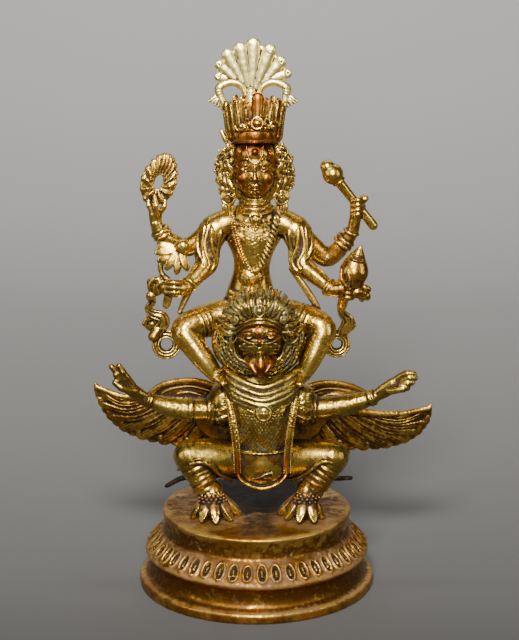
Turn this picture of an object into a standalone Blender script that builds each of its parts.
"""A gilt shrine figure: a four-armed god rides on the shoulders of a squatting bird man, on a round petalled base.

The base is turned. The figure is cast: soft forms are run together, thinned to a faceted skin, and cut where
they meet the piece that carries them. Free forms are drawn in shares of the figure's height: in that drawing the
soles stand at SOLE_MARK and the tip of the fan at FAN_MARK, x runs to the viewer's right, y away, z up.
"""
import math

import bmesh
import bpy
from mathutils import Matrix, Vector

# Driving sizes, in metres
FIGURE_HEIGHT = 0.1902
BASE_HEIGHT = 0.0315
FOOT_RADIUS = 0.0487
FOOT_THICKNESS = 0.0040
WALL_RADIUS = 0.0444
RING_RADIUS = 0.0462
RING_HEIGHT = 0.0144
SHOULDER_HEIGHT = 0.0223
DRUM_RADIUS = 0.0389
RIM_ROUNDING = 0.0014
WALL_HOLLOW = 0.0009
PETAL_COUNT = 48
PETAL_TURN = math.radians(2.9)
PETAL_LENGTH = 0.0094
PETAL_WIDTH = 0.0046
PETAL_RISE = 0.0013
FIT_GAP = 0.0003

# The figure's drawing
SOLE_MARK = 30.0
FAN_MARK = 220.0
UNIT = FIGURE_HEIGHT / (FAN_MARK - SOLE_MARK)

# How finely the cast skins are made
BASE_STEPS = 48
SKIN_GRAIN = 0.5 * UNIT
FINE_GRAIN = 0.32 * UNIT
GARUDA_FACES = 2500
WINGS_FACES = 1000
VISHNU_FACES = 3300
PLUME_FACES = 620
CUTTER_GRAIN = 0.25 * UNIT
CUTTER_FACES = 6000


# Scene
def clear_scene():
    for old in list(bpy.data.objects):
        bpy.data.objects.remove(old)


def new_collection(name, hidden=False):
    made = bpy.data.collections.new(name)
    bpy.context.scene.collection.children.link(made)
    made.hide_render = hidden
    return made


def metal(name, colour, roughness):
    made = bpy.data.materials.new(name)
    made.use_nodes = True
    shader = made.node_tree.nodes["Principled BSDF"]
    shader.inputs["Base Color"].default_value = (*colour, 1.0)
    shader.inputs["Roughness"].default_value = roughness
    shader.inputs["Metallic"].default_value = 1.0
    return made


# Meshes
def at(x, y, z):
    """A place of the figure's drawing, in metres."""
    return Vector((x * UNIT, y * UNIT, BASE_HEIGHT + (z - SOLE_MARK) * UNIT))


def object_of(name, bm):
    mesh = bpy.data.meshes.new(name)
    bm.to_mesh(mesh)
    bm.free()
    return bpy.data.objects.new(name, mesh)


def solid_of(obj):
    """The object as its modifiers leave it, in world space, as a closed bmesh. The object goes."""
    bpy.context.scene.collection.objects.link(obj)
    bpy.context.view_layer.update()
    graph = bpy.context.evaluated_depsgraph_get()
    mesh = bpy.data.meshes.new_from_object(obj.evaluated_get(graph))
    bm = bmesh.new()
    bm.from_mesh(mesh)
    bm.transform(obj.matrix_world)
    bmesh.ops.remove_doubles(bm, verts=bm.verts, dist=1e-7)
    bpy.data.objects.remove(obj)
    bpy.data.meshes.remove(mesh)
    return bm


def tube(points, radii, flat=None):
    """A limb or cord through the points, as thick as the radii, with round ends.

    flat is a direction and a share: the limb is that much thinner along it.
    """
    curve = bpy.data.curves.new("limb", "CURVE")
    curve.dimensions = "3D"
    curve.resolution_u = 6
    curve.bevel_depth = UNIT
    curve.bevel_resolution = 3
    curve.use_fill_caps = True
    spline = curve.splines.new("BEZIER")
    spline.bezier_points.add(len(points) - 1)
    spline.radius_interpolation = "CARDINAL"
    for knot, place, radius in zip(spline.bezier_points, points, radii):
        knot.co = at(*place)
        knot.radius = radius
        knot.handle_left_type = "AUTO"
        knot.handle_right_type = "AUTO"
    limb = solid_of(bpy.data.objects.new("limb", curve))
    for place, radius in ((points[0], radii[0]), (points[-1], radii[-1])):
        bmesh.ops.create_icosphere(limb, subdivisions=2, radius=radius * UNIT, matrix=Matrix.Translation(at(*place)))
    if flat:
        thin(limb, at(*points[0]), *flat)
    return limb


def thin(bm, centre, direction, share):
    bm.transform(Matrix.Translation(-centre))
    bm.transform(Matrix.Scale(share, 4, Vector(direction).normalized()))
    bm.transform(Matrix.Translation(centre))


def ball(centre, radii, turn=(0.0, 0.0, 0.0)):
    """An egg with half axes radii, turned by degrees about x, then y, then z."""
    bm = bmesh.new()
    bmesh.ops.create_icosphere(bm, subdivisions=3, radius=1.0)
    bm.transform(Matrix.Diagonal((*[r * UNIT for r in radii], 1.0)))
    for axis, degrees in zip("XYZ", turn):
        bm.transform(Matrix.Rotation(math.radians(degrees), 4, axis))
    bm.transform(Matrix.Translation(at(*centre)))
    return bm


def lobe(start, end, width, thickness, face=(0.0, -1.0, 0.0), blunt=0.5):
    """A leaf or feather from start to end, broad side towards face; blunt puts its widest part along it."""
    a, b = at(*start), at(*end)
    along = (b - a).normalized()
    side = along.cross(Vector(face)).normalized()
    up = side.cross(along).normalized()
    turn = Matrix((side, along, up)).transposed().to_4x4()
    bm = bmesh.new()
    bmesh.ops.create_icosphere(bm, subdivisions=3, radius=1.0)
    for vertex in bm.verts:
        share = 0.5 + 0.5 * vertex.co.y
        widen = 1.0 + (blunt - 0.5) * 1.6 * (share - 0.5)
        vertex.co.x *= widen
        vertex.co.z *= widen
    bm.transform(Matrix.Diagonal((width * UNIT, (b - a).length / 2.0, thickness * UNIT, 1.0)))
    bm.transform(Matrix.Translation((a + b) / 2.0) @ turn)
    return bm


def ring(centre, direction, radius, thickness, stretch=(1.0, 1.0)):
    """A round band about direction."""
    bm = bmesh.new()
    profile = bmesh.ops.create_circle(bm, segments=8, radius=thickness * UNIT)["verts"]
    bmesh.ops.transform(bm, matrix=Matrix.Rotation(math.radians(90.0), 4, "X"), verts=profile)
    bmesh.ops.translate(bm, vec=(radius * UNIT, 0.0, 0.0), verts=profile)
    bmesh.ops.spin(bm, geom=bm.verts[:] + bm.edges[:], cent=(0, 0, 0), axis=(0, 0, 1), angle=math.tau,
                   steps=24, use_merge=True)
    bmesh.ops.remove_doubles(bm, verts=bm.verts, dist=1e-7)
    bmesh.ops.recalc_face_normals(bm, faces=bm.faces)
    bm.transform(Matrix.Diagonal((stretch[0], stretch[1], 1.0, 1.0)))
    bm.transform(Vector(direction).to_track_quat("Z", "Y").to_matrix().to_4x4())
    bm.transform(Matrix.Translation(at(*centre)))
    return bm


def trunk(sections):
    """A body through level oval sections (height, x, y, half width, half depth)."""
    bm = bmesh.new()
    rows = []
    for z, x, y, half_width, half_depth in sections:
        angles = [math.tau * i / 24 for i in range(24)]
        rows.append([bm.verts.new(at(x + half_width * math.cos(a), y + half_depth * math.sin(a), z))
                     for a in angles])
    for low, high in zip(rows, rows[1:]):
        for i in range(24):
            j = (i + 1) % 24
            bm.faces.new((low[i], low[j], high[j], high[i]))
    bm.faces.new(list(reversed(rows[0])))
    bm.faces.new(rows[-1])
    return bm


# Casting
def joined(name, forms):
    whole = bmesh.new()
    for form in forms:
        mesh = bpy.data.meshes.new("form")
        form.to_mesh(mesh)
        form.free()
        whole.from_mesh(mesh)
        bpy.data.meshes.remove(mesh)
    return object_of(name, whole)


def keep_largest(bm):
    """Leaves only the largest connected body."""
    left = set(bm.verts)
    bodies = []
    while left:
        body, front = set(), [left.pop()]
        while front:
            vertex = front.pop()
            body.add(vertex)
            for edge in vertex.link_edges:
                other = edge.other_vert(vertex)
                if other in left:
                    left.discard(other)
                    front.append(other)
        bodies.append(body)
    bodies.sort(key=len)
    for body in bodies[:-1]:
        bmesh.ops.delete(bm, geom=list(body), context="VERTS")


def thinned(name, bm, faces):
    """The largest body, thinned to about that many triangles."""
    keep_largest(bm)
    before = sum(len(face.verts) - 2 for face in bm.faces)
    obj = object_of(name, bm)
    thinner = obj.modifiers.new("thinner", "DECIMATE")
    thinner.ratio = faces / before
    thinner.use_collapse_triangulate = True
    bm = solid_of(obj)
    keep_largest(bm)
    return object_of(name, bm)


def cast(name, forms, grain, faces, collection, material):
    """Runs the forms together into one skin of about that many triangles."""
    obj = joined(name, forms)
    skin = obj.modifiers.new("skin", "REMESH")
    skin.mode = "VOXEL"
    skin.voxel_size = grain
    soften = obj.modifiers.new("soften", "SMOOTH")
    soften.factor = 0.5
    soften.iterations = 2
    obj = thinned(name, solid_of(obj), faces)
    obj.data.materials.append(material)
    obj.data.shade_smooth()
    collection.objects.link(obj)
    return obj


def cutter_of(carrier, cutters):
    """The carrier grown by the fit gap, to cut a seat for it. The remesh closes the folds that growing makes."""
    grown = bpy.data.objects.new("grown", carrier.data.copy())
    swell = grown.modifiers.new("swell", "DISPLACE")
    swell.mid_level = 0.0
    swell.strength = FIT_GAP
    close = grown.modifiers.new("close", "REMESH")
    close.mode = "VOXEL"
    close.voxel_size = CUTTER_GRAIN
    grown = thinned(carrier.name + "_grown", solid_of(grown), CUTTER_FACES)
    grown.hide_render = True
    grown.display_type = "WIRE"
    cutters.objects.link(grown)
    return grown


def cut(obj, cutter):
    """Cuts the cutter out of the object and leaves its largest body."""
    seat = obj.modifiers.new("seat_" + cutter.name, "BOOLEAN")
    seat.operation = "DIFFERENCE"
    seat.solver = "EXACT"
    seat.object = cutter
    bpy.context.view_layer.update()
    graph = bpy.context.evaluated_depsgraph_get()
    mesh = bpy.data.meshes.new_from_object(obj.evaluated_get(graph))
    obj.modifiers.clear()
    bm = bmesh.new()
    bm.from_mesh(mesh)
    bmesh.ops.remove_doubles(bm, verts=bm.verts, dist=2e-6)
    bmesh.ops.dissolve_degenerate(bm, edges=bm.edges, dist=1e-6)
    bmesh.ops.triangulate(bm, faces=bm.faces)
    keep_largest(bm)
    bm.to_mesh(obj.data)
    bm.free()
    bpy.data.meshes.remove(mesh)


def floor_cutter(cutters):
    """A block whose top lies the fit gap above the base."""
    bm = bmesh.new()
    side = 3.0 * FOOT_RADIUS
    top = BASE_HEIGHT + FIT_GAP
    place = Matrix.Translation((0.0, 0.0, top - side / 2.0)) @ Matrix.Diagonal((side, side, side, 1.0))
    bmesh.ops.create_cube(bm, size=1.0, matrix=place)
    block = object_of("floor_block", bm)
    block.hide_render = True
    block.display_type = "WIRE"
    cutters.objects.link(block)
    return block


# The base
def base_profile():
    """The base's outer side from the middle of its top down to the middle of its underside."""
    shoulder_radius = DRUM_RADIUS - WALL_HOLLOW
    lip = FOOT_RADIUS - WALL_RADIUS
    return [
        (0.0, BASE_HEIGHT),
        (DRUM_RADIUS - RIM_ROUNDING, BASE_HEIGHT),
        (DRUM_RADIUS, BASE_HEIGHT - RIM_ROUNDING),
        (shoulder_radius, SHOULDER_HEIGHT + RIM_ROUNDING),
        (shoulder_radius, SHOULDER_HEIGHT - RIM_ROUNDING / 2.0),
        (RING_RADIUS - RIM_ROUNDING, RING_HEIGHT + RIM_ROUNDING),
        (RING_RADIUS, RING_HEIGHT),
        (WALL_RADIUS, RING_HEIGHT - RIM_ROUNDING),
        (WALL_RADIUS - WALL_HOLLOW, (RING_HEIGHT + FOOT_THICKNESS) / 2.0),
        (WALL_RADIUS, FOOT_THICKNESS + RIM_ROUNDING),
        (WALL_RADIUS + lip / 2.0, FOOT_THICKNESS),
        (FOOT_RADIUS, FOOT_THICKNESS * 0.7),
        (FOOT_RADIUS, 0.0),
        (0.0, 0.0),
    ]


def turned_base():
    bm = bmesh.new()
    corners = [bm.verts.new((r, 0.0, z)) for r, z in base_profile()]
    for a, b in zip(corners, corners[1:]):
        bm.edges.new((a, b))
    base = object_of("lotus_base", bm)
    turn = base.modifiers.new("turn", "SCREW")
    turn.steps = BASE_STEPS
    turn.render_steps = BASE_STEPS
    turn.use_merge_vertices = True
    turn.merge_threshold = 0.00005
    return base


def petal(index):
    """One petal lies on the sloping shoulder between ring and drum."""
    inner = Vector((DRUM_RADIUS - WALL_HOLLOW, 0.0, SHOULDER_HEIGHT))
    outer = Vector((RING_RADIUS, 0.0, RING_HEIGHT))
    along = (outer - inner).normalized()
    middle = inner.lerp(outer, 0.56)
    up = Vector((0.0, -1.0, 0.0)).cross(along).normalized()
    turn = Matrix((along, Vector((0.0, 1.0, 0.0)), up)).transposed().to_4x4()
    bm = bmesh.new()
    bmesh.ops.create_icosphere(bm, subdivisions=1, radius=1.0)
    bm.transform(Matrix.Diagonal((PETAL_LENGTH / 2.0, PETAL_WIDTH / 2.0, PETAL_RISE, 1.0)))
    bm.transform(Matrix.Translation(middle) @ turn)
    bm.transform(Matrix.Rotation(PETAL_TURN + math.tau * index / PETAL_COUNT, 4, "Z"))
    return bm


def make_base(collection, cutters, material):
    base = object_of("lotus_base", solid_of(turned_base()))
    petals = joined("petals", [petal(i) for i in range(PETAL_COUNT)])
    petals.hide_render = True
    petals.display_type = "WIRE"
    cutters.objects.link(petals)
    add = base.modifiers.new("petals", "BOOLEAN")
    add.operation = "UNION"
    add.solver = "EXACT"
    add.object = petals
    base.data.materials.append(material)
    collection.objects.link(base)
    return base


# The bird man
def garuda_body():
    return [
        trunk([
            (42.6, 2.6, -2.0, 7.5, 7.5), (45.5, 2.6, -2.0, 11.0, 10.0), (50.0, 2.5, -2.0, 12.2, 11.2),
            (58.0, 2.4, -1.5, 11.4, 11.6), (66.0, 2.3, -1.5, 12.4, 12.6), (73.0, 2.2, -0.8, 14.5, 13.4),
            (79.0, 2.0, 0.5, 15.5, 12.5), (84.0, 1.8, 1.5, 14.0, 11.0), (90.0, 1.4, 3.5, 11.0, 9.0),
            (95.0, 0.6, 6.0, 9.0, 8.0), (98.5, 0.0, 7.0, 8.5, 8.0),
        ]),
        ball((-13.6, 0.0, 74.0), (6.4, 8.0, 9.0)),
        ball((18.2, 0.0, 73.6), (6.4, 8.0, 9.0)),
    ]


def garuda_dress():
    """Collar rolls, breast boss, shoulder straps, belt ledge and the apron's hem."""
    forms = [
        tube([(-13.5, -5.0, 85.0), (-6.5, -12.2, 82.0), (2.4, -15.0, 80.2), (10.5, -12.2, 82.0),
              (17.0, -5.0, 85.0)], [2.0, 2.4, 2.6, 2.4, 2.0]),
        tube([(-14.5, -6.0, 80.5), (-6.5, -13.0, 77.6), (2.5, -15.4, 76.0), (11.0, -13.0, 77.6),
              (18.0, -6.0, 80.5)], [1.4, 1.5, 1.6, 1.5, 1.4]),
        ball((2.8, -14.8, 74.6), (2.9, 1.8, 2.9)),
        tube([(-12.0, -8.5, 78.5), (-10.0, -11.6, 66.0), (-8.6, -11.8, 58.0), (-7.8, -11.4, 49.0)],
             [1.2, 1.1, 1.1, 1.2]),
        tube([(15.6, -8.5, 78.5), (13.6, -11.4, 66.0), (12.6, -11.4, 58.0), (12.0, -11.2, 49.0)],
             [1.2, 1.1, 1.1, 1.2]),
        tube([(-7.6, -11.6, 57.4), (2.2, -13.6, 57.4), (12.0, -11.6, 57.4)], [0.8, 0.9, 0.8]),
        tube([(-8.2, -11.0, 48.8), (-2.6, -12.0, 44.6), (2.6, -12.0, 42.6), (8.0, -11.6, 44.6),
              (12.0, -11.0, 48.8)], [1.1, 1.2, 1.2, 1.2, 1.1]),
    ]
    return forms


def garuda_head():
    forms = [
        ball((1.0, -4.5, 106.5), (15.0, 8.0, 16.5)),
        ball((0.8, 0.5, 99.0), (19.5, 3.4, 15.0)),
        ball((1.2, -9.5, 104.5), (9.8, 8.0, 11.0)),
        tube([(-7.0, -14.5, 108.0), (-3.0, -17.2, 110.8), (1.4, -18.2, 111.9), (5.8, -17.2, 110.8),
              (9.8, -14.5, 108.4)], [1.0, 1.3, 1.4, 1.3, 1.0]),
        ball((-3.4, -15.6, 106.8), (2.9, 2.4, 2.5)),
        ball((6.0, -15.6, 106.8), (2.9, 2.4, 2.5)),
        tube([(1.3, -15.6, 109.0), (1.3, -19.0, 104.0), (1.5, -20.2, 98.5), (1.7, -19.6, 93.4)],
             [1.6, 2.9, 4.0, 2.2]),
        lobe((-3.0, -14.0, 102.0), (-1.6, -17.5, 93.4), 4.2, 3.2),
        lobe((6.0, -14.0, 102.0), (4.8, -17.5, 93.4), 4.2, 3.2),
        ball((-5.2, -15.0, 101.6), (2.8, 2.4, 2.8)),
        ball((7.6, -15.0, 101.6), (2.8, 2.4, 2.8)),
        ball((-11.0, -11.8, 104.8), (2.6, 2.0, 3.0)),
        ball((13.2, -11.8, 104.8), (2.6, 2.0, 3.0)),
        ball((1.3, -14.6, 115.2), (2.8, 1.7, 3.0)),
        ball((-8.4, -12.0, 111.2), (2.2, 1.6, 2.4)),
        ball((10.2, -12.0, 111.2), (2.2, 1.6, 2.4)),
    ]
    return forms


def garuda_mane(locks=22):
    """Locks stand out round the face and over the brow."""
    forms = []
    for i in range(locks):
        angle = math.tau * (i + 0.5) / locks
        out = math.copysign(abs(math.cos(angle)) ** 0.85, math.cos(angle))
        up = math.copysign(abs(math.sin(angle)) ** 0.85, math.sin(angle))
        root = (1.0 + 9.6 * out, -9.6, 105.5 + 10.5 * up)
        tip = (0.8 + 17.6 * out, -5.4, 105.8 + 17.6 * up)
        forms.append(lobe(root, tip, 2.3, 2.5, face=(0.0, -1.0, 0.1)))
    return forms


def garuda_arm(points, radii, band_at):
    forms = [tube(points, radii)]
    for index, radius, thickness in band_at:
        along = Vector(points[min(index + 1, len(points) - 1)]) - Vector(points[index - 1])
        forms.append(ring(points[index], along, radius, thickness))
    return forms


def garuda_arms():
    left = [(-13.0, 0.0, 73.0), (-18.2, -0.8, 71.6), (-27.0, -2.0, 71.8), (-36.5, -3.2, 73.8), (-44.2, -4.8, 77.0)]
    right = [(17.5, 0.0, 73.4), (24.2, -0.8, 72.0), (33.0, -2.0, 73.2), (41.2, -3.4, 75.6), (47.6, -4.8, 78.2)]
    radii = [6.0, 5.1, 4.6, 3.8, 2.7]
    bands = [(1, 5.2, 1.1), (4, 2.7, 0.9)]
    forms = garuda_arm(left, radii, bands) + garuda_arm(right, radii, bands)
    forms.append(ring(left[2], (-1.0, 0.0, 0.1), 4.5, 0.8))
    return forms


def garuda_hands():
    """Open hands held up, the fingers outwards."""
    return [
        tube([(-44.2, -4.8, 77.0), (-48.4, -5.8, 80.0), (-51.2, -6.6, 82.8)], [2.6, 3.3, 3.3],
             flat=((0.3, 1.0, 0.2), 0.75)),
        tube([(-51.0, -6.8, 83.4), (-55.0, -8.0, 88.4), (-57.7, -8.8, 91.4)], [1.9, 1.5, 1.1]),
        tube([(-49.4, -6.2, 83.6), (-52.6, -7.8, 88.6), (-54.6, -8.8, 92.0)], [1.9, 1.5, 1.1]),
        tube([(-50.6, -8.0, 81.4), (-54.0, -9.0, 82.6), (-56.6, -9.2, 85.4)], [1.9, 1.5, 1.2]),
        tube([(47.6, -4.8, 78.2), (52.4, -5.8, 81.8), (55.8, -6.6, 84.6)], [2.6, 3.4, 3.4],
             flat=((-0.3, 1.0, 0.2), 0.75)),
        tube([(55.0, -6.8, 85.6), (58.6, -8.0, 88.4), (62.2, -8.8, 88.6)], [2.0, 1.6, 1.2]),
        tube([(56.0, -7.4, 84.0), (59.6, -8.6, 86.2), (63.0, -9.2, 86.6)], [1.9, 1.5, 1.1]),
        tube([(54.4, -8.0, 81.8), (58.4, -9.0, 83.2), (61.4, -9.2, 84.0)], [1.9, 1.4, 1.1]),
    ]


def garuda_leg(hip, knee, ankle, side):
    """A squatting leg: short trousers to the knee, then ringed bird's shank."""
    mid = tuple((a + b) / 2.0 for a, b in zip(hip, knee))
    forms = [
        tube([hip, mid, knee], [8.6, 7.6, 6.5]),
        tube([knee, tuple((a + b) / 2.0 for a, b in zip(knee, ankle)), ankle], [5.8, 6.0, 4.9]),
    ]
    hem_place = (knee[0] - side * 2.6, knee[1] - 1.0, knee[2] - 0.4)
    forms.append(ring(hem_place, (side * 0.55, -0.3, -0.75), 6.1, 1.1))
    shank = Vector(ankle) - Vector(knee)
    for i in range(5):
        share = 0.28 + 0.15 * i
        place = tuple(a + (b - a) * share for a, b in zip(knee, ankle))
        forms.append(ring(place, shank, 5.6 - 0.22 * i, 1.15))
    return forms


def garuda_foot(ankle, tips, heel):
    """A clawed foot: the instep, and a talon to each tip."""
    forms = [tube([ankle, (ankle[0], ankle[1] - 2.6, 33.6)], [4.9, 4.0])]
    for tip in tips:
        root = (ankle[0] + (tip[0] - ankle[0]) * 0.28, ankle[1] - 2.0 + (tip[1] - ankle[1]) * 0.20, 35.2)
        bend = (ankle[0] + (tip[0] - ankle[0]) * 0.74, ankle[1] + (tip[1] - ankle[1]) * 0.70, 34.6)
        forms.append(tube([root, bend, (tip[0], tip[1], 30.8)], [2.5, 2.1, 1.0]))
    forms.append(tube([(ankle[0], ankle[1], 34.0), heel], [3.6, 1.7]))
    return forms


def garuda_legs():
    left_ankle, right_ankle = (-18.6, -12.8, 38.0), (20.6, -12.8, 38.2)
    forms = garuda_leg((-5.5, -3.0, 51.0), (-26.8, -9.6, 54.8), left_ankle, -1.0)
    forms += garuda_leg((10.5, -3.0, 51.0), (30.6, -9.6, 54.4), right_ankle, 1.0)
    left_tips = [(-25.6, -16.0), (-22.2, -21.6), (-16.0, -23.6), (-9.9, -19.4), (-6.8, -11.6)]
    right_tips = [(9.0, -11.0), (11.8, -16.6), (16.8, -22.0), (22.8, -22.0), (26.4, -16.4)]
    forms += garuda_foot(left_ankle, left_tips, (-19.6, -5.0, 31.0))
    forms += garuda_foot(right_ankle, right_tips, (21.6, -5.0, 31.0))
    forms.append(ball((36.4, -8.0, 55.0), (1.6, 1.6, 1.6)))
    return forms


def garuda_tail():
    """Two flat straps run out behind the legs from the seat, with a short tail between them."""
    level = ((0.0, 0.0, 1.0), 0.6)
    return [
        tube([(-4.0, 6.0, 45.0), (-14.0, 11.0, 40.0), (-24.0, 14.6, 37.6), (-31.0, 15.4, 36.8),
              (-38.0, 16.0, 32.6)], [2.4, 1.9, 1.7, 1.6, 1.3]),
        tube([(9.0, 6.0, 45.0), (19.0, 11.0, 40.0), (28.0, 14.6, 37.2), (34.0, 15.6, 36.4),
              (40.0, 16.0, 36.4)], [2.4, 1.9, 1.6, 1.4, 1.2]),
        lobe((2.4, 6.0, 50.0), (2.4, 17.0, 37.0), 6.5, 2.2, face=(0.0, 1.0, 1.0), blunt=0.7),
    ]


def make_garuda(collection, material):
    forms = garuda_body() + garuda_dress() + garuda_head() + garuda_mane() + garuda_arms() + garuda_hands()
    forms += garuda_legs() + garuda_tail()
    return cast("garuda", forms, SKIN_GRAIN, GARUDA_FACES, collection, material)


# The wings
def bow(a, b, c, share):
    """A place on the curve that leaves a, leans towards b and ends at c."""
    return tuple((1 - share) ** 2 * p + 2 * share * (1 - share) * q + share ** 2 * r for p, q, r in zip(a, b, c))


def wing(side, tip_bow, root_bow, shoulder_line, feathers=10):
    """Feathers from the root line to the tip line, each lapping the next, under a leaf-shaped shoulder."""
    forms = []
    for i in range(feathers):
        share = i / (feathers - 1)
        lap = (0.0, 0.45 * (i % 2), 0.0)
        tip = tuple(a + b for a, b in zip(bow(*tip_bow, share ** 1.15), lap))
        root = tuple(a + b for a, b in zip(bow(*root_bow, share), lap))
        forms.append(lobe(root, tip, 2.9 + 1.3 * min(1.0, 3.0 * share), 1.25, face=(0.1 * side, -1.0, 0.0)))
        quill = tuple(a + (b - a) * 0.35 for a, b in zip(root, tip))
        forms.append(tube([quill, tip], [0.9, 0.7]))
    forms.append(tube(shoulder_line, [2.2, 2.3, 2.2, 2.0, 1.6], flat=((0.0, 1.0, 0.0), 0.7)))
    return forms


def make_wings(collection, material):
    left = wing(
        -1.0,
        ((-67.0, 18.0, 75.4), (-61.0, 20.4, 47.6), (-15.0, 16.0, 52.0)),
        ((-38.0, 16.8, 71.6), (-24.0, 16.8, 70.0), (-12.0, 14.6, 68.6)),
        [(-16.0, 15.4, 75.6), (-24.0, 16.6, 77.2), (-32.0, 17.0, 76.8), (-39.0, 17.2, 74.4), (-45.0, 17.6, 71.4)],
    )
    right = wing(
        1.0,
        ((72.6, 18.6, 66.2), (69.0, 20.4, 43.8), (19.6, 16.0, 52.0)),
        ((38.0, 16.8, 63.6), (30.0, 16.8, 68.6), (17.0, 14.6, 68.6)),
        [(17.6, 15.4, 75.6), (25.0, 16.6, 78.0), (32.0, 17.0, 77.6), (40.0, 17.2, 75.0), (47.0, 17.6, 70.4)],
    )
    middle = [
        ball((-26.0, 16.6, 71.4), (16.0, 1.8, 6.0), turn=(0.0, 14.0, 0.0)),
        ball((30.0, 16.6, 70.6), (16.0, 1.8, 6.4), turn=(0.0, -14.0, 0.0)),
        ball((1.8, 14.4, 64.0), (28.0, 2.0, 15.0)),
    ]
    return cast("garuda_wings", left + right + middle, SKIN_GRAIN, WINGS_FACES, collection, material)


# The rider
def vishnu_trunk():
    return [
        trunk([
            (97.0, -0.6, 8.5, 8.0, 7.5), (102.0, -0.8, 9.0, 11.0, 9.0), (108.0, -1.2, 9.4, 12.0, 9.4),
            (114.0, -2.0, 9.2, 11.4, 8.6), (120.0, -2.4, 8.8, 9.6, 7.2), (127.0, -2.0, 8.4, 7.3, 6.0),
            (133.0, -1.6, 8.2, 7.6, 6.3), (139.0, -1.4, 8.2, 10.4, 7.2), (144.5, -1.2, 8.4, 13.5, 7.0),
            (148.5, -1.0, 8.6, 12.0, 6.0), (151.5, -0.8, 8.4, 7.6, 5.0), (154.0, -0.7, 7.6, 4.2, 4.2),
            (160.0, -0.6, 6.6, 3.9, 4.2),
        ]),
        ring((-0.8, 7.4, 154.6), (0.0, -0.25, 1.0), 4.6, 1.2),
        ring((-0.9, 6.8, 151.8), (0.0, -0.35, 1.0), 6.6, 1.4),
        tube([(-8.6, 3.4, 150.0), (-7.0, 0.8, 140.0), (-4.4, 1.2, 130.0), (-0.6, 1.2, 123.0), (3.2, 1.2, 130.0),
              (6.4, 0.8, 140.0), (8.0, 3.4, 150.0)], [0.9, 0.9, 0.9, 1.0, 1.1, 1.2, 1.2]),
        tube([(-10.6, 3.6, 119.0), (-2.4, 0.6, 117.6), (6.4, 3.6, 119.0)], [1.0, 1.1, 1.0]),
    ]


def vishnu_head():
    forms = [
        ball((-0.6, 6.6, 171.5), (7.9, 8.2, 9.4)),
        ball((-0.6, 4.6, 165.2), (6.4, 6.0, 7.2)),
        tube([(-0.6, -1.2, 171.0), (-0.6, -2.6, 166.6)], [0.8, 1.2]),
        ball((-0.6, -0.9, 162.9), (2.2, 1.3, 1.0)),
        ball((-0.6, -0.2, 159.8), (2.0, 1.6, 1.4)),
        tube([(-6.2, 1.0, 172.2), (-3.4, -1.5, 172.4), (-1.2, -1.4, 171.2)], [0.6, 0.7, 0.6]),
        tube([(5.0, 1.0, 172.2), (2.2, -1.5, 172.4), (0.0, -1.4, 171.2)], [0.6, 0.7, 0.6]),
        ball((-3.8, -0.5, 169.2), (1.8, 1.0, 1.1)),
        ball((2.6, -0.5, 169.2), (1.8, 1.0, 1.1)),
        ring((-0.7, 6.4, 181.0), (0.0, 0.12, 1.0), 8.2, 1.5, stretch=(1.0, 1.05)),
    ]
    for side in (-1.0, 1.0):
        for i in range(7):
            z = 178.0 - 4.0 * i
            out = 10.0 + 1.5 * math.sin(math.pi * (i + 0.5) / 7.0) + 0.7 * (i % 2)
            forms.append(ball((-0.6 + side * out, 7.6, z), (3.3, 3.0, 2.8)))
        forms.append(ring((-0.6 + side * 10.4, 5.4, 157.2), (side * 0.3, -1.0, 0.0), 1.8, 1.0))
        forms.append(ball((-0.6 + side * 10.4, 6.2, 152.6), (2.6, 2.6, 2.4)))
    forms.append(ball((-0.6, 10.4, 166.5), (11.6, 4.6, 14.5)))
    return forms


def vishnu_crown(leaves=13):
    """A tall crown: a core, a ring of upright leaves that spread a little, a post in front and three jewels."""
    forms = [
        trunk([(179.0, -0.7, 7.0, 7.4, 7.8), (186.0, -0.7, 7.2, 8.0, 7.8), (192.0, -0.8, 7.4, 8.4, 7.6)]),
        tube([(-0.2, -0.9, 184.0), (0.0, -0.6, 196.2)], [1.8, 1.8]),
        ball((-0.2, -1.8, 185.6), (1.7, 1.3, 1.9)),
        ball((-5.2, 0.2, 184.8), (1.8, 1.4, 1.8)),
        ball((4.9, 0.2, 184.8), (1.8, 1.4, 1.8)),
    ]
    for i in range(leaves):
        angle = math.radians(-90.0) + math.tau * (i + 0.5) / leaves
        out, back = math.cos(angle), math.sin(angle)
        low = (-0.7 + 8.6 * out, 7.2 + 7.8 * back, 180.0)
        high = (-0.8 + 11.2 * out, 7.6 + 8.8 * back, 196.4 - 2.6 * abs(out))
        forms.append(lobe(low, high, 2.0, 1.5, face=(out, back, 0.2), blunt=0.7))
    return forms


def sleeve(points, radii, folds):
    """An upper arm in a short sleeve with curved folds round it."""
    forms = [tube(points, radii)]
    a, b = Vector(points[0]), Vector(points[1])
    for i in range(folds):
        share = (i + 0.6) / folds
        place = a.lerp(b, share)
        radius = radii[0] + (radii[1] - radii[0]) * share
        forms.append(ring(tuple(place), (b - a) + Vector((0.0, 1.2, -2.0)), radius - 0.25, 0.75))
    return forms


def vishnu_front_arms():
    left = [(-16.6, 7.0, 145.0), (-18.8, 5.6, 138.0), (-20.4, 3.0, 131.0), (-24.0, -1.2, 126.6), (-27.6, -5.0, 123.2)]
    right = [(15.4, 7.0, 144.6), (18.4, 5.6, 137.6), (18.8, 3.0, 131.0), (23.6, -1.2, 126.8), (29.6, -5.6, 122.6)]
    radii = [6.0, 5.0, 4.2, 3.5, 2.7]
    forms = sleeve(left, radii, 4) + sleeve(right, radii, 4)
    forms.append(ring(right[4], (1.0, -0.8, -0.7), 3.0, 1.0))
    return forms


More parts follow.
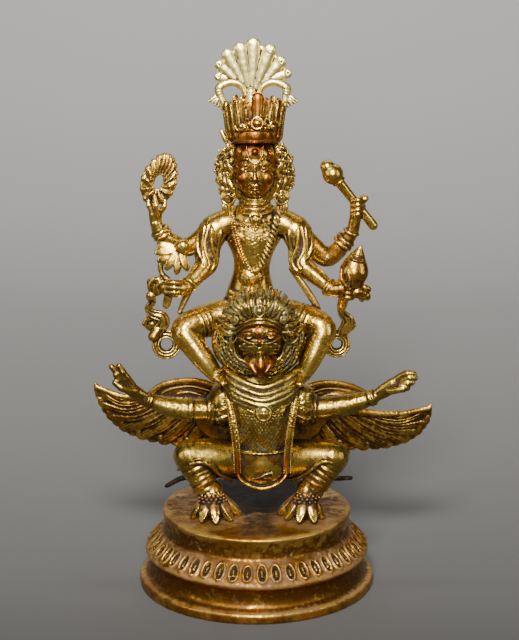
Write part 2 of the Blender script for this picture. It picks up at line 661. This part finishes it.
def vishnu_rear_arms():
    left = [(-17.0, 10.0, 144.4), (-23.0, 12.0, 138.6), (-28.6, 12.6, 135.8), (-33.6, 11.0, 138.4), (-38.4, 9.0, 141.8),
            (-40.2, 8.2, 146.6)]
    right = [(15.0, 10.0, 143.6), (22.6, 12.0, 136.0), (28.0, 12.6, 131.8), (32.2, 11.6, 134.2), (35.4, 10.0, 138.6),
             (38.2, 9.0, 142.4), (39.4, 8.2, 148.0)]
    return [
        tube(left, [5.4, 4.2, 3.8, 3.3, 2.9, 2.7]),
        ring((-38.0, 9.2, 141.6), (-1.0, -0.2, 0.9), 3.2, 1.3),
        tube(right, [5.4, 4.4, 3.9, 3.5, 3.0, 2.7, 2.6]),
        ring((34.8, 10.2, 138.0), (0.7, -0.2, 0.8), 3.2, 1.2),
        ring((38.0, 9.2, 142.2), (0.5, -0.2, 0.9), 2.6, 0.9),
    ]


def flame_wheel(centre=(-38.9, 8.0, 163.0), teeth=16):
    """A leaf-shaped wheel held up on one finger, edged with flames."""
    forms = []
    lean = math.radians(-20.0)
    track = []
    for i in range(teeth):
        angle = math.tau * i / teeth
        out = 4.9 * math.cos(angle)
        up = 7.5 * math.sin(angle) + 0.9 * max(0.0, math.sin(angle)) ** 4
        x = centre[0] + out * math.cos(lean) - up * math.sin(lean)
        z = centre[2] + out * math.sin(lean) + up * math.cos(lean)
        track.append((x, centre[1], z))
    for i in range(teeth):
        here, after = track[i], track[(i + 1) % teeth]
        forms.append(tube([here, after], [1.7, 1.7], flat=((0.0, 1.0, 0.0), 0.9)))
        outward = Vector(here) - Vector(centre)
        tip = Vector(here) + outward.normalized() * 2.4 + Vector((0.3, 0.0, 0.6))
        forms.append(lobe(here, tuple(tip), 1.35, 1.2))
    return forms


def vishnu_rear_hands():
    forms = [
        tube([(-40.2, 8.2, 146.6), (-40.2, 8.0, 150.6)], [2.7, 2.9]),
        tube([(-40.0, 6.2, 149.8), (-39.8, 5.8, 156.8)], [1.4, 1.1]),
        tube([(-39.6, 8.6, 150.0), (-36.6, 8.0, 153.6)], [1.6, 1.2]),
        tube([(-41.4, 8.6, 150.0), (-42.6, 8.2, 154.6)], [1.6, 1.3]),
        tube([(39.4, 8.2, 148.0), (40.2, 8.0, 154.4)], [2.6, 3.2]),
        ball((43.2, 7.4, 156.6), (1.7, 1.7, 1.7)),
    ]
    return forms


def mace(top=(27.3, 6.0, 170.3), foot=(47.3, 9.0, 144.7)):
    """A club with a stacked bulb for a head, through the raised fist."""
    a, b = Vector(top), Vector(foot)

    def along(share):
        return tuple(a.lerp(b, share))

    axis = b - a
    return [
        tube([along(0.0), along(0.07)], [2.0, 2.2]),
        ring(along(0.11), axis, 2.6, 1.1),
        ball(along(0.2), (4.5, 4.4, 4.1)),
        ring(along(0.29), axis, 2.2, 0.9),
        tube([along(0.25), along(0.5)], [2.1, 1.7]),
        tube([along(0.5), along(0.97)], [1.8, 2.2]),
    ]


def lotus_in_hand():
    """The front left hand with its lotus: a pod, a fan of petals, a bent stem."""
    pod = (-28.7, -8.0, 140.2)
    tips = [(-39.4, -6.0, 139.4), (-39.6, -7.0, 135.6), (-37.6, -8.0, 133.0), (-34.8, -8.6, 131.2),
            (-31.0, -8.8, 129.2), (-27.2, -8.4, 130.2)]
    forms = [ball(pod, (2.9, 2.7, 2.9)), ball((-31.4, -6.6, 137.4), (4.2, 2.6, 4.2))]
    for tip in tips:
        forms.append(lobe((-30.6, -7.6, 138.2), tip, 1.75, 1.2, face=(0.2, -1.0, 0.3), blunt=0.8))
    forms += [
        tube([(-34.0, -5.6, 135.4), (-36.6, -5.2, 131.0), (-35.0, -6.0, 126.0)], [1.5, 1.3, 1.5]),
        tube([(-27.6, -5.0, 123.2), (-31.8, -7.0, 122.8), (-35.6, -7.4, 123.6)], [3.0, 3.6, 2.6]),
        tube([(-29.6, -7.4, 124.6), (-33.4, -8.6, 126.0)], [2.0, 1.7]),
        tube([(-35.0, -6.4, 122.6), (-35.4, -6.0, 116.6)], [1.8, 1.5]),
    ]
    return forms


def conch_in_hand():
    """The front right fist with the upright conch and a flower bud beside it."""
    return [
        tube([(29.6, -5.6, 122.6), (34.4, -7.4, 122.8)], [2.9, 3.5]),
        lobe((38.0, -7.0, 123.6), (38.8, -7.0, 135.8), 5.7, 5.0),
        tube([(38.4, -7.0, 132.4), (39.6, -7.0, 136.6), (40.8, -7.0, 139.4)], [4.6, 2.6, 0.9]),
        ring((38.8, -7.0, 134.6), (0.2, 0.0, 1.0), 3.6, 0.7),
        ball((39.6, -7.4, 122.2), (3.2, 2.6, 2.6)),
        lobe((40.6, -6.6, 122.6), (44.4, -6.4, 118.6), 2.3, 1.9),
        tube([(35.0, -6.0, 120.0), (34.4, -3.0, 115.4)], [2.0, 1.7]),
    ]


def scarf(points, radii, loop_centre, loop_radius, curl):
    """A scarf end that falls from the hand in a wave and rolls into a ring against the knee."""
    return [
        tube(points, radii, flat=((0.0, 1.0, 0.0), 0.9)),
        ball(curl, (3.4, 2.6, 3.0)),
        ring(loop_centre, (0.1, -1.0, 0.15), loop_radius, 1.9),
    ]


def scarf_ends():
    left = [(-38.6, -4.4, 122.6), (-43.0, -1.0, 118.4), (-41.6, 0.6, 114.2), (-43.0, 1.8, 110.6), (-40.2, 2.6, 107.4),
            (-42.4, 3.6, 103.0), (-40.2, 4.6, 99.6)]
    right = [(34.4, -3.6, 118.6), (33.8, 0.0, 114.4), (34.2, 2.0, 110.2), (36.8, 3.0, 107.2), (35.6, 4.0, 103.4),
             (34.6, 4.6, 100.8)]
    return (
        scarf(left, [2.6, 1.4, 1.5, 1.7, 2.2, 2.0, 1.8], (-36.4, 4.6, 96.8), 4.0, (-40.4, 3.0, 106.6))
        + scarf(right, [2.0, 1.7, 1.7, 2.2, 2.0, 1.8], (33.4, 4.6, 97.6), 3.6, (36.2, 3.2, 106.6))
    )


def vishnu_leg(points, radii, toe, knee_band):
    forms = [tube(points, radii), tube([points[-1], toe], [radii[-1], 1.9])]
    place, direction = knee_band
    for step in (0.0, 1.9):
        moved = tuple(a + b * step for a, b in zip(place, Vector(direction).normalized()))
        forms.append(ring(moved, direction, 5.7, 0.9))
    return forms


def vishnu_legs():
    """The legs part round the bearer's head and come back in on to the shoulders."""
    left = [(-6.0, 9.5, 109.0), (-17.5, 6.0, 108.0), (-28.6, 0.8, 104.6), (-25.2, -1.6, 98.6), (-20.4, -3.4, 92.2),
            (-16.4, -4.4, 87.2)]
    right = [(4.6, 9.5, 109.0), (15.6, 6.0, 108.2), (26.0, 0.8, 105.4), (24.4, -1.6, 99.2), (21.4, -3.4, 92.6),
             (18.8, -4.4, 87.4)]
    radii = [8.4, 6.8, 6.1, 5.2, 4.4, 3.4]
    forms = vishnu_leg(left, radii, (-13.0, -10.0, 84.6), ((-21.6, 3.8, 106.6), (-0.9, -0.4, -0.3)))
    forms += vishnu_leg(right, radii, (17.6, -10.4, 84.4), ((19.8, 3.8, 107.2), (0.9, -0.4, -0.2)))
    return forms


def make_vishnu(collection, material):
    forms = vishnu_trunk() + vishnu_head() + vishnu_crown() + vishnu_front_arms() + vishnu_rear_arms()
    forms += flame_wheel() + vishnu_rear_hands() + mace() + lotus_in_hand() + conch_in_hand()
    forms += scarf_ends() + vishnu_legs()
    return cast("vishnu", forms, SKIN_GRAIN, VISHNU_FACES, collection, material)


# The fan on the crown
def make_plume(collection, material):
    root = (-2.2, 12.0, 195.6)
    fan = [
        ((-14.6, 204.4), 1.8), ((-14.4, 209.0), 2.1), ((-11.4, 212.9), 2.5), ((-6.4, 215.2), 2.8),
        ((-1.4, 217.2), 2.7), ((5.2, 214.6), 2.6), ((9.5, 210.2), 2.4), ((12.0, 205.4), 2.0),
    ]
    flat = ((0.0, 1.0, 0.0), 0.5)
    forms = []
    for (x, z), radius in fan:
        mid = tuple(a + (b - a) * 0.55 for a, b in zip(root, (x, root[1], z)))
        forms.append(tube([root, mid, (x, root[1], z)], [1.0, radius * 0.84, radius], flat=flat))
    forms.append(tube([root, (-2.0, 11.6, 189.0)], [1.9, 1.7]))
    for side, bend, hook, tassel, foot in (
        (-1.0, (-11.4, 201.9), (-14.8, 199.4), (-18.8, 193.2), (-12.2, 190.8)),
        (1.0, (8.4, 202.2), (12.2, 199.2), (16.4, 193.2), (10.4, 190.8)),
    ):
        forms.append(tube([(-2.1 + side * 3.0, 12.0, 197.6), (-1.4 + side * 5.2, 12.0, 200.8),
                           (bend[0], 12.0, bend[1]), (hook[0], 11.8, hook[1]), (hook[0] - side * 0.4, 11.6, 196.2),
                           (foot[0], 11.0, foot[1])], [1.2, 1.4, 1.6, 1.6, 1.4, 1.2]))
        forms.append(ring((hook[0], 11.8, 198.6), (0.2 * side, 0.0, 1.0), 1.6, 0.6))
        for i in range(3):
            tip = (tassel[0] - side * 1.9 * i, 11.4, tassel[1] - 0.7 * i)
            forms.append(lobe((hook[0] + side * 0.2, 11.6, 198.0), tip, 1.1, 1.1, blunt=0.75))
    return cast("crown_plume", forms, FINE_GRAIN, PLUME_FACES, collection, material)


def main():
    clear_scene()
    statue = new_collection("vishnu_on_garuda")
    cutters = new_collection("cutters", hidden=True)
    worn = metal("worn_gilt_brown", (0.30, 0.20, 0.10), 0.48)
    green_gilt = metal("gilt_with_green", (0.42, 0.31, 0.12), 0.42)
    brown_gilt = metal("gilt_brown", (0.38, 0.27, 0.12), 0.45)
    red_gilt = metal("gilt_red", (0.52, 0.33, 0.13), 0.36)
    bright_gilt = metal("gilt_bright", (0.85, 0.70, 0.34), 0.30)

    make_base(statue, cutters, worn)
    garuda = make_garuda(statue, green_gilt)
    cut(garuda, floor_cutter(cutters))
    wings = make_wings(statue, brown_gilt)
    garuda_grown = cutter_of(garuda, cutters)
    cut(wings, garuda_grown)
    rider = make_vishnu(statue, red_gilt)
    cut(rider, garuda_grown)
    cut(rider, cutter_of(wings, cutters))
    plume = make_plume(statue, bright_gilt)
    cut(plume, cutter_of(rider, cutters))


main()
